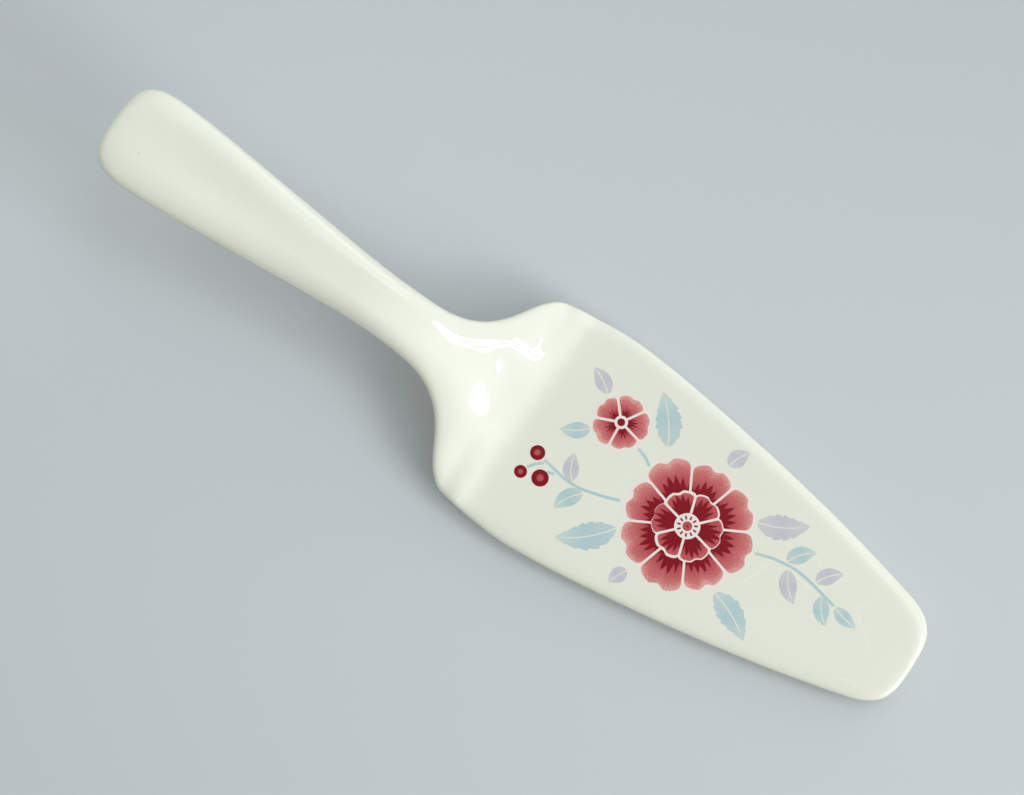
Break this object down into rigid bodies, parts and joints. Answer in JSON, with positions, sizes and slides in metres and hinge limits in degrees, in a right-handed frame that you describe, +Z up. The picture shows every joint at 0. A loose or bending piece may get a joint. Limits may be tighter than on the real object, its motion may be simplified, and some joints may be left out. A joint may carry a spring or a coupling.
{
  "type": "cake server",
  "caption": "Flat cake server: a broad blunt-pointed blade turns up at a soft fold into a slim neck and a raised, widening handle; ivory glazed earthenware with a floral design.",
  "frame": {"origin": "bottom centre of the box round the whole server, which is on the table plane just in front of the fold", "axes": "+X from the handle towards the blade's tip, +Z up from the table, +Y to the left looking along +X"},
  "size_m": [0.259, 0.068, 0.0418],
  "materials": {
    "glazed_earthenware": "glossy clear glaze over an ivory body, slightly greenish",
    "rose_colour": "crimson and dusty rose colour sprayed through stencils, under the glaze",
    "leaf_colour": "blue-grey and lilac-grey colour sprayed through stencils, under the glaze"
  },
  "bodies": {
    "root": {"blade": "glazed_earthenware", "shoulder": "glazed_earthenware", "neck": "glazed_earthenware", "handle": "glazed_earthenware"}
  },
  "joints": []
}
